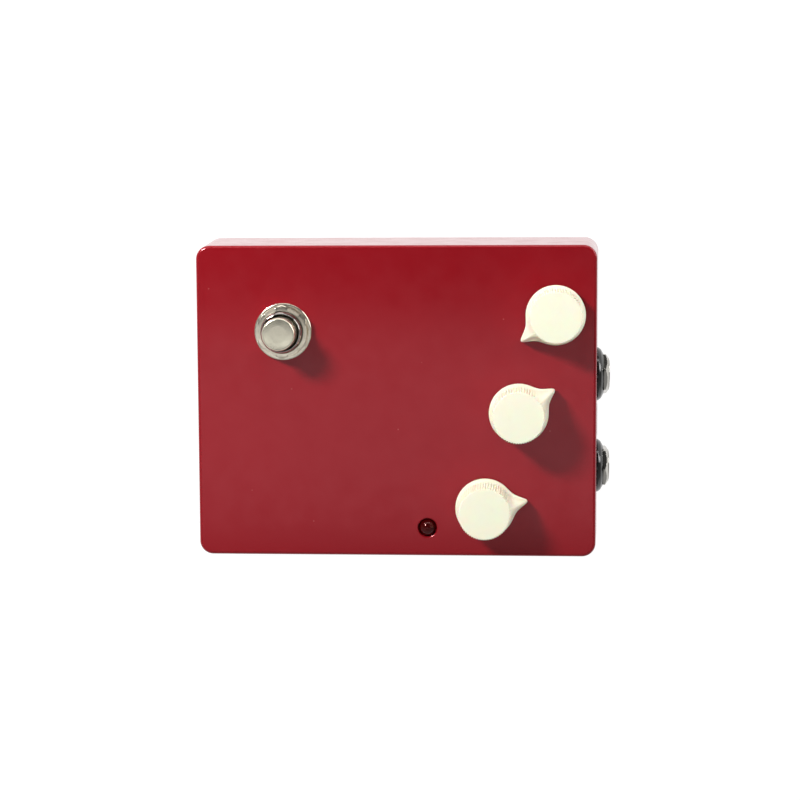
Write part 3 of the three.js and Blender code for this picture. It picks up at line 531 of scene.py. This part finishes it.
def rim_rings(inset, radius, low, high, fillet, steps=8):
    """Rings from low up to high, with the top edge rounded by fillet."""
    rings = [wall_outline(inset, radius, low)]
    for step in range(steps + 1):
        a = step * math.pi / 2 / steps
        inward = fillet * (1 - math.cos(a))
        z = high - fillet + fillet * math.sin(a)
        rings.append(wall_outline(inset + inward, max(radius - inward, 0.05), z))
    return rings


def make_shell():
    outer = rim_rings(0, CORNER_RADIUS, RIM_Z, FACE_Z, EDGE_RADIUS)
    shell = skin("shell", outer, smooth_angle=60)
    hollow = skin("cutter", rim_rings(WALL, CORNER_RADIUS - 1, RIM_Z - 1, FACE_Z - WALL, 1.0))
    posts = [
        place(cylinder(POST_RADIUS, RIM_Z - 2, FACE_Z + 1, 32), node_centre(f"lid_screw_{i}").x,
              node_centre(f"lid_screw_{i}").y, 0)
        for i in range(1, 7)
    ]
    carve(hollow, posts)
    holes = [hollow]
    for i in range(1, 7):
        at = node_centre(f"lid_screw_{i}")
        pilot = cylinder(SCREW_HOLE_RADIUS, RIM_Z - 1, RIM_Z + 9, 24)
        holes.append(place(pilot, at.x, at.y, 0))
    for node, radius in (
        ("pot_1_bushing", POT_HOLE_RADIUS), ("pot_2_bushing", POT_HOLE_RADIUS),
        ("pot_3_bushing", POT_HOLE_RADIUS), ("footswitch_bushing", SWITCH_HOLE_RADIUS),
        ("lamp_lens", LAMP_HOLE_RADIUS),
    ):
        at = node_centre(node)
        drill = revolve("cutter", [(radius, FACE_Z - 5)] + [
            (radius + HOLE_EDGE * (1 - math.cos(a)), FACE_Z - HOLE_EDGE * (1 - math.sin(a)))
            for a in np.linspace(0, 1.45, 5)
        ] + [(radius + HOLE_EDGE, FACE_Z + 5)])
        holes.append(place(drill, at.x, at.y, 0))
    for node in ("input_jack_bushing", "output_jack_bushing"):
        at = node_centre(node)
        holes.append(place(lay_to_rear(cylinder(JACK_HOLE_RADIUS, -9, 9)), at.x, at.y, at.z))
    low, high = node_box("power_jack_body")
    gap = Vector((0.2, 8, 0.2))
    holes.append(rounded_box("cutter", low + Vector((0, 8, 0)) - gap, high + gap, 0.4))
    carve(shell, holes)
    smooth(shell, 40)
    even_normals(shell)
    mount(shell, "enclosure_shell", "enclosure", PAINT)


def make_base_plate():
    low, _ = node_box("base_plate")
    edge = 0.6
    rings = [
        wall_outline(edge, CORNER_RADIUS - edge, low.z),
        wall_outline(edge * 0.3, CORNER_RADIUS - edge * 0.3, low.z + edge * 0.3),
        wall_outline(0, CORNER_RADIUS, low.z + edge),
        wall_outline(0, CORNER_RADIUS, RIM_Z - 0.25),
        wall_outline(0.2, CORNER_RADIUS - 0.2, RIM_Z - 0.02),
    ]
    for points in rings:
        # Below the rim the plate's sides stand upright.
        lean = DRAFT * (points[0, 2] - RIM_Z) / (FACE_Z - RIM_Z)
        points[:, 0] += np.sign(points[:, 0]) * lean
        points[:, 1] += np.sign(points[:, 1] - MIDDLE_Y) * lean
    plate = skin("lid", rings, smooth_angle=50)
    mouth = SCREW_RECESS_RADIUS + 0.2
    clearance = SCREW_SHANK_RADIUS + 0.2
    cutters = []
    for i in range(1, 7):
        screw_low, _ = node_box(f"lid_screw_{i}")
        at = node_centre(f"lid_screw_{i}")
        recess = revolve("cutter", rounded([
            (mouth, screw_low.z - 2), (mouth, low.z), (SCREW_RECESS_RADIUS, low.z + 0.2),
            (SCREW_RECESS_RADIUS, low.z + SCREW_RECESS_DEPTH),
            (clearance, low.z + SCREW_RECESS_DEPTH), (clearance, RIM_Z + 1),
        ]), 48)
        cutters.append(place(recess, at.x, at.y, 0))
    carve(plate, cutters)
    smooth(plate, 40)
    even_normals(plate)
    mount(plate, "base_plate", "enclosure", PAINT)


def make_lid_screws():
    for i in range(1, 7):
        node = f"lid_screw_{i}"
        low, high = node_box(node)
        at = node_centre(node)
        screw = revolve(f"lid_fastener_{i}", rounded([
            (0.4, low.z), (2.2, low.z + 0.1, 0.8), (SCREW_HEAD_RADIUS, low.z + 0.7, 0.3),
            (SCREW_HEAD_RADIUS, low.z + 1.7, 0.15), (SCREW_SHANK_RADIUS, low.z + 1.7, 0.1),
            (SCREW_SHANK_RADIUS, high.z - 1, 0.3), (0.6, high.z),
        ]), 48)
        slots = []
        for turn in (0.3 + 0.5 * i, 0.3 + 0.5 * i + math.pi / 2):
            slot = skin("cutter", [
                outline(1.75, 0.42, 0.1, low.z - 1, 2), outline(1.3, 0.3, 0.1, low.z + 1.2, 2),
            ])
            slot.data.transform(Matrix.Rotation(turn, 4, "Z"))
            slots.append(slot)
        carve(screw, slots)
        smooth(screw, 35)
        place(screw, at.x, at.y, 0)
        mount(screw, node, "enclosure", STEEL)


def make_feet():
    for i in range(1, 5):
        node = f"rubber_foot_{i}"
        low, high = node_box(node)
        at = node_centre(node)
        foot = revolve(f"foot_{i}", rounded([
            (2.4, low.z + 0.7), (2.9, low.z, 0.25), (5.2, low.z, 0.6),
            (FOOT_RADIUS, high.z - 0.4, 0.2), (FOOT_RADIUS, high.z),
        ]), 72)
        place(foot, at.x, at.y, 0)
        mount(foot, node, "enclosure", RUBBER)


# ---- Knobs -----------------------------------------------------------------------------

def knob_body_radius(z, height):
    """The plain knob's radius at height z: a skirt, a hollow neck and a tapering grip."""
    heights = (0, 0.12, 1.0, 1.25, 1.7, 2.3, 3.0, height - 0.3, height - 0.1, height)
    skirt, body, top = KNOB_SKIRT_RADIUS, KNOB_BODY_RADIUS, KNOB_TOP_RADIUS
    radii = (
        skirt - 0.1, skirt, skirt, skirt - 0.13, body + 0.35, body + 0.15, body + 0.05,
        top + 0.1, top + 0.04, top - 0.15,
    )
    return float(np.interp(z, heights, radii))


def knob_outline(z, height):
    """The knob's radius at height z, as a function of the angle from its pointer."""
    body = knob_body_radius(z, height)
    heights = (0, 1.15, 1.3, 3.0, height - 0.5, height)
    crest = (
        KNOB_REACH, KNOB_REACH, KNOB_REACH - 0.25, KNOB_REACH - 0.35,
        KNOB_TOP_RADIUS + 0.1, KNOB_TOP_RADIUS - 0.2,
    )
    ridge = float(np.interp(z, heights, crest))
    grip = float(np.interp(z, (2.2, 3.4), (0, 1)))
    width = POINTER_SKIRT_WIDTH if z < 1.2 else POINTER_RIDGE_WIDTH

    def radius(angles):
        away = np.degrees(np.abs((angles + math.pi) % math.tau - math.pi))
        away = np.hypot(away, POINTER_TIP_EASE) - POINTER_TIP_EASE
        reach = max(ridge - body, 0) * np.exp(-((away / width) ** POINTER_SHARPNESS))
        free = np.clip(1 - reach / 0.25, 0, 1)
        flute = 0.5 - 0.5 * np.cos(angles * KNOB_FLUTES)
        return body + reach - KNOB_FLUTE_DEPTH * grip * free * flute

    return radius


def make_knob(number):
    node = f"knob_{number}"
    low, high = node_box(node)
    shaft = node_centre(f"pot_{number}_shaft")
    height = high.z - low.z
    # The pointer is where the CAD knob reaches furthest from the shaft.
    points = np.array([v.co for v in frame["nodes"][node].data.vertices]) / MM
    offsets = points[:, :2] - np.array([shaft.x, shaft.y])
    reach = np.hypot(offsets[:, 0], offsets[:, 1])
    tip = offsets[reach > reach.max() - 0.1].mean(axis=0)
    clock = math.atan2(tip[1], tip[0])

    heights = [0, 0.05, 0.12, 0.4, 0.9, 1.0, 1.1, 1.2, 1.3, 1.5, 1.7, 2.0, 2.3, 2.6, 2.9]
    heights += [3.0, 3.1] + list(np.linspace(3.6, height - 0.7, 14))
    heights += [height - 0.5, height - 0.3, height - 0.2, height - 0.1, height - 0.03]
    count = KNOB_FLUTES * 8
    # The angles are counted from the pointer, so that a flute lies on each side of it.
    rings = [ring(knob_outline(z, height), z, count) for z in heights]
    rings += [ring(r, height - 0.02 + 0.04 * (7 - r) / 7, count) for r in (7.2, 7.0, 6.7, 4, 1.5)]
    inside, roof = KNOB_CAVITY_RADIUS, KNOB_CAVITY_DEPTH
    cavity = [ring(r, z, count) for r, z in (
        (1.5, roof), (inside - 0.3, roof), (inside, roof - 0.3), (inside, 0.2), (inside + 0.2, 0),
    )]
    knob = skin(f"pointer_knob_{number}", cavity + rings, smooth_angle=38)
    seat = cylinder(INSERT_SEAT_RADIUS, roof - 1, INSERT_SEAT_TOP, 48)
    way = lay_to_rear(cylinder(SET_SCREW_WAY_RADIUS, -12, -2, 32))
    way.data.transform(Matrix.Rotation(-math.pi / 2, 4, "Z"))
    place(way, 0, 0, SET_SCREW_HEIGHT)
    carve(knob, [seat, way])
    smooth(knob, 38)
    knob.data.transform(Matrix.Rotation(clock, 4, "Z"))
    place(knob, shaft.x, shaft.y, low.z)
    mount(knob, node, f"control_{number}", CREAM)


# ---- Footswitch ------------------------------------------------------------------------

def hexagon(across_flats, corner=0.12):
    """A hexagon's radius as a function of the angle, its corners on the X axis and eased."""
    def radius(angles):
        turn = (angles + math.pi / 6) % (math.pi / 3) - math.pi / 6
        flat = across_flats / 2 / np.cos(math.pi / 6 - np.abs(turn))
        return np.minimum(flat, across_flats / math.sqrt(3) - corner)
    return radius


def hex_nut(name, across_flats, bore, low, high, crown, slope, turn=0.0):
    """A nut along Z, its upper face falling away by slope outside the crown radius."""
    count = 240
    fall = (across_flats / math.sqrt(3) - crown) * slope
    hexagonal = hexagon(across_flats)

    def limited(z):
        return lambda angles: np.minimum(hexagonal(angles), crown + (high - z) / slope)

    heights = [low] + [high - fall * k / 10 for k in range(10, 0, -1)] + [high - 0.02]
    rings = [ring(limited(z), z, count) for z in heights]
    rings += [ring(r, z, count) for r, z in (
        (crown - 0.12, high), (bore + 0.25, high), (bore, high - 0.2), (bore, low),
    )]
    nut = skin(name, rings, closed=True, smooth_angle=24)
    nut.data.transform(Matrix.Rotation(turn, 4, "Z"))
    return nut


def threaded_rings(radius, depth, pitch, low, high, count):
    """Rings of an outer screw thread."""
    steps = int((high - low) / pitch * 6)

    def crest(z):
        def reach(angles):
            phase = (z / pitch - angles / math.tau) % 1
            return radius - depth * np.abs(2 * phase - 1)
        return reach

    return [ring(crest(z), z, count) for z in np.linspace(low, high, steps)]


def make_footswitch():
    at = node_centre("footswitch_bushing")

    low, high = node_box("footswitch_washer")
    radius = (high.x - low.x) / 2
    washer = revolve("dress_washer", rounded([
        (SWITCH_NUT_BORE, low.z), (radius, low.z, 0.15), (radius, high.z, 0.35),
        (7.2, high.z - 0.05, 0.3), (SWITCH_NUT_BORE, high.z - 0.05),
    ], 5), 160, closed=True)
    mount(place(washer, at.x, at.y, 0), "footswitch_washer", "enclosure", DRESS)

    low, high = node_box("footswitch_nut")
    nut = hex_nut("switch_nut", SWITCH_NUT_FLATS, SWITCH_NUT_BORE, low.z, high.z,
                  SWITCH_NUT_CROWN, SWITCH_NUT_SLOPE)
    mount(place(nut, at.x, at.y, 0), "footswitch_nut", "enclosure", DRESS)

    low, high = node_box("footswitch_bushing")
    nut_low = node_box("footswitch_nut")[0].z
    count = 128
    rings = [ring(r, z, count) for r, z in (
        (4.83, low.z), (8.0, low.z), (8.0, low.z + 1), (5.95, low.z + 1), (5.95, nut_low),
    )]
    rings += threaded_rings(SWITCH_THREAD_RADIUS, SWITCH_THREAD_DEPTH, SWITCH_THREAD_PITCH,
                            nut_low + 0.1, high.z - 0.5, count)
    rings += [ring(r, z, count) for r, z in (
        (5.74, high.z - 0.4), (5.68, high.z - 0.12), (5.52, high.z), (5.42, high.z),
        (5.36, high.z - 0.1), (5.32, high.z - 1.8), (4.83, high.z - 2.1),
    )]
    bushing = skin("switch_bushing", rings, closed=True, smooth_angle=50)
    mount(place(bushing, at.x, at.y, 0), "footswitch_bushing", "enclosure", NICKEL)

    low, high = node_box("footswitch_button")
    shoulder = FACE_Z + BUTTON_SHOULDER
    button = revolve("switch_button", rounded([
        (0.5, low.z), (BUTTON_STEM_RADIUS, low.z, 0.3), (BUTTON_STEM_RADIUS, shoulder, 0.1),
        (BUTTON_RADIUS, shoulder, 0.2), (BUTTON_RADIUS, high.z - 0.06, 0.55),
        (2.5, high.z - 0.01, 1.0), (0.3, high.z),
    ], 6), 128)
    mount(place(button, at.x, at.y, 0), "footswitch_button", "switch_plunger", SATIN)


def make_switch_spring():
    """The return spring under the button's shoulder, coiled between the ends of the CAD spring's
    box.
    """
    low, high = node_box("footswitch_spring")
    at = node_centre("footswitch_bushing")
    out = (high.x - low.x) / 2 - SPRING_WIRE_RADIUS
    bottom, top = low.z + SPRING_WIRE_RADIUS, high.z - SPRING_WIRE_RADIUS
    section = np.arange(12) * math.tau / 12
    rings = []
    for turn in np.linspace(0, 1, SPRING_TURNS * 40 + 1):
        a = turn * SPRING_TURNS * math.tau
        climb = float(np.interp(turn, (0, 0.2, 0.8, 1), (0, 0.065, 0.935, 1)))
        reach = out + SPRING_WIRE_RADIUS * np.cos(section)
        rings.append(np.stack([
            reach * math.cos(a), reach * math.sin(a),
            bottom + (top - bottom) * climb + SPRING_WIRE_RADIUS * np.sin(section),
        ], axis=1))
    spring = place(skin("return_spring", rings, smooth_angle=50), at.x, at.y, 0)
    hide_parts("footswitch_spring")
    spring.data.materials.append(STEEL)
    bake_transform(spring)


# ---- Lamp ------------------------------------------------------------------------------

def make_lamp():
    low, high = node_box("lamp_lens")
    at = node_centre("lamp_lens")
    radius = LAMP_RADIUS
    dome = [
        (radius * math.cos(a), high.z - radius + radius * math.sin(a))
        for a in np.linspace(0, math.pi / 2 - 0.05, 20)
    ]
    profile = rounded([
        (0.3, low.z), (LAMP_FLANGE_RADIUS, low.z, 0.15), (LAMP_FLANGE_RADIUS, low.z + 1, 0.2),
        (radius, low.z + 1, 0.1),
    ]) + [(radius, low.z + 1.05)] + dome
    lens = revolve("lamp_dome", profile, 96)
    mount(place(lens, at.x, at.y, 0), "lamp_lens", "enclosure", LENS)


# ---- Sockets ---------------------------------------------------------------------------

def make_jack(name):
    at = node_centre(f"{name}_bushing")
    nut_low, nut_high = node_box(f"{name}_nut")
    bush_low, bush_high = node_box(f"{name}_bushing")
    wall_y = nut_low.y - COLLAR_HEIGHT

    def along(y):
        """Distances are drawn along Z from the wall, then laid to the rear."""
        return y - wall_y

    def lay(piece):
        return place(lay_to_rear(piece), at.x, wall_y, at.z)

    front = COLLAR_HEIGHT - 0.03
    collar = lay(revolve(f"{name}_bezel", rounded([
        (JACK_HOLE_RADIUS, -1.2), (COLLAR_RADIUS, -1.2), (COLLAR_RADIUS, 0.2, 0.6),
        (COLLAR_RADIUS - 0.6, 1.05, 1.2), (5.9, front, 0.2),
        (JACK_HOLE_RADIUS, front),
    ], 6), 128, closed=True))
    # The collar's back lies flat on the leaning wall.
    carve(collar, [skin("cutter", [
        wall_outline(-0.02, CORNER_RADIUS, z) for z in (at.z - 12, at.z + 12)
    ])])
    smooth(collar, 40)
    mount(collar, f"{name}_collar", "enclosure", BLACK)

    nut = hex_nut(f"{name}_ring_nut", JACK_NUT_FLATS, JACK_HOLE_RADIUS, along(nut_low.y),
                  along(nut_high.y), JACK_NUT_CROWN, JACK_NUT_SLOPE,
                  math.radians(JACK_NUT_TURNS[name]))
    mount(lay(nut), f"{name}_nut", "enclosure", NICKEL)

    end = along(bush_high.y)
    count = 96
    start = along(bush_low.y)
    rings = [ring(r, start, count) for r in (JACK_BORE_RADIUS, 4.45)]
    rings += threaded_rings(JACK_THREAD_RADIUS, JACK_THREAD_DEPTH, JACK_THREAD_PITCH,
                            start + 0.2, end - 0.4, count)
    rings += [ring(r, z, count) for r, z in (
        (4.42, end - 0.3), (4.34, end - 0.13), (4.18, end - 0.03), (4.0, end), (3.6, end),
        (3.38, end - 0.2), (JACK_BORE_RADIUS, end - 0.6),
    )]
    bushing = skin(f"{name}_sleeve", rings, closed=True, smooth_angle=50)
    mount(lay(bushing), f"{name}_bushing", "enclosure", NICKEL)

    low, high = node_box(f"{name}_body")
    body = rounded_box(f"{name}_housing", low, high, 0.6)
    bore = lay_to_rear(cylinder(JACK_BORE_RADIUS, 0, bush_high.y - low.y))
    place(bore, at.x, bush_high.y - JACK_BORE_DEPTH, at.z)
    seat = place(lay_to_rear(cylinder(4.55, 0, 5)), at.x, bush_low.y, at.z)
    carve(body, [bore, seat])
    smooth(body, 35)
    even_normals(body)
    mount(body, f"{name}_body", "enclosure", BLACK)


def make_power_jack():
    low, high = node_box("power_jack_body")
    at = node_centre("power_jack_body")
    body = rounded_box("power_housing", low, high, 0.35)
    flare = POWER_BORE_RADIUS + 0.3
    mouth = lay_to_rear(revolve("cutter", [
        (POWER_BORE_RADIUS, -10), (POWER_BORE_RADIUS, -0.3), (flare, 0.0), (flare, 1),
    ], 64))
    carve(body, [place(mouth, at.x, high.y, at.z)])
    smooth(body, 35)
    even_normals(body)
    mount(body, "power_jack_body", "enclosure", BLACK)
    pin_low, pin_high = node_box("power_jack_pin")
    length = pin_high.y - pin_low.y
    pin = lay_to_rear(revolve("power_pin", rounded([
        (POWER_PIN_RADIUS, 0), (POWER_PIN_RADIUS, length - 0.6, 0.3),
        (0.6, length - 0.05, 0.3), (0.1, length),
    ]), 48))
    mount(place(pin, at.x, pin_low.y, at.z), "power_jack_pin", "enclosure", NICKEL)


# ---- Everything else keeps its CAD shape -----------------------------------------------

def dress_cad_nodes():
    for row in frame["record"]["subparts"]:
        node = frame["nodes"][row["node"]]
        if node.hide_render:
            continue
        node.data.materials.clear()
        node.data.materials.append(SLOT_MATERIALS[row["material_slot"]])
        node.data.shade_smooth()
        node.data.set_sharp_from_angle(angle=math.radians(35))


# ---- Studio ----------------------------------------------------------------------------

def aim(obj, target, up):
    """Turns an object's -Z towards target, with its +Y as near up as can be."""
    back = (obj.location - Vector(target)).normalized()
    right = Vector(up).cross(back).normalized()
    obj.matrix_world = Matrix.Translation(obj.location) @ Matrix((
        (right.x, back.cross(right).x, back.x, 0),
        (right.y, back.cross(right).y, back.y, 0),
        (right.z, back.cross(right).z, back.z, 0),
        (0, 0, 0, 1),
    ))


def add_light(name, at, target, watts, shape, size, size_y):
    data = bpy.data.lights.new(name, "AREA")
    data.energy = watts
    data.shape = shape
    data.size = size
    data.size_y = size_y
    lamp = bpy.data.objects.new(name, data)
    scene.collection.objects.link(lamp)
    lamp.location = at
    lamp.visible_camera = False
    aim(lamp, target, (1, 0, 0))


def add_studio():
    far = FLOOR_REACH / MM
    floor = mesh_object("floor", [
        (x, y, -FLOOR_DROP) for x, y in ((-far, -far), (far, -far), (far, far), (-far, far))
    ], [(0, 1, 2, 3)])
    floor.data.materials.append(floor_material())

    for light in LIGHTS:
        add_light(*light)

    world = bpy.data.worlds.new("studio")
    world.use_nodes = True
    tree = world.node_tree
    direction = tree.nodes.new("ShaderNodeTexCoord").outputs["Generated"]
    split = tree.nodes.new("ShaderNodeSeparateXYZ")
    tree.links.new(direction, split.inputs[0])

    def smooth_range(value, low, high, to_low, to_high):
        node = tree.nodes.new("ShaderNodeMapRange")
        node.interpolation_type = "SMOOTHSTEP"
        for key, number in zip(("From Min", "From Max"), (low, high)):
            node.inputs[key].default_value = number
        for key, end in zip(("To Min", "To Max"), (to_low, to_high)):
            if isinstance(end, bpy.types.NodeSocket):
                tree.links.new(end, node.inputs[key])
            else:
                node.inputs[key].default_value = end
        tree.links.new(value, node.inputs["Value"])
        return node.outputs["Result"]

    # Dark behind the strip, bright on the far side, and dark overhead.
    horizon = smooth_range(split.outputs["X"], -0.7, 0.8, WORLD_NEAR, WORLD_FAR)
    strength = smooth_range(split.outputs["Z"], 0.80, 0.96, horizon, WORLD_ABOVE)
    tree.nodes["Background"].inputs["Color"].default_value = rgb(1, 1, 1)
    tree.links.new(strength, tree.nodes["Background"].inputs["Strength"])
    scene.world = world


def add_camera():
    data = bpy.data.cameras.new("camera")
    data.sensor_width = CAMERA_SENSOR
    data.lens = CAMERA_LENS
    camera = bpy.data.objects.new("camera", data)
    scene.collection.objects.link(camera)
    camera.location = CAMERA_PLACE
    aim(camera, CAMERA_TARGET, CAMERA_UP)
    scene.camera = camera


add_camera()
make_shell()
make_base_plate()
make_lid_screws()
make_feet()
for number in (1, 2, 3):
    make_knob(number)
make_footswitch()
make_switch_spring()
make_lamp()
make_jack("input_jack")
make_jack("output_jack")
make_power_jack()
dress_cad_nodes()
add_studio()
scene.view_settings.view_transform = "Standard"
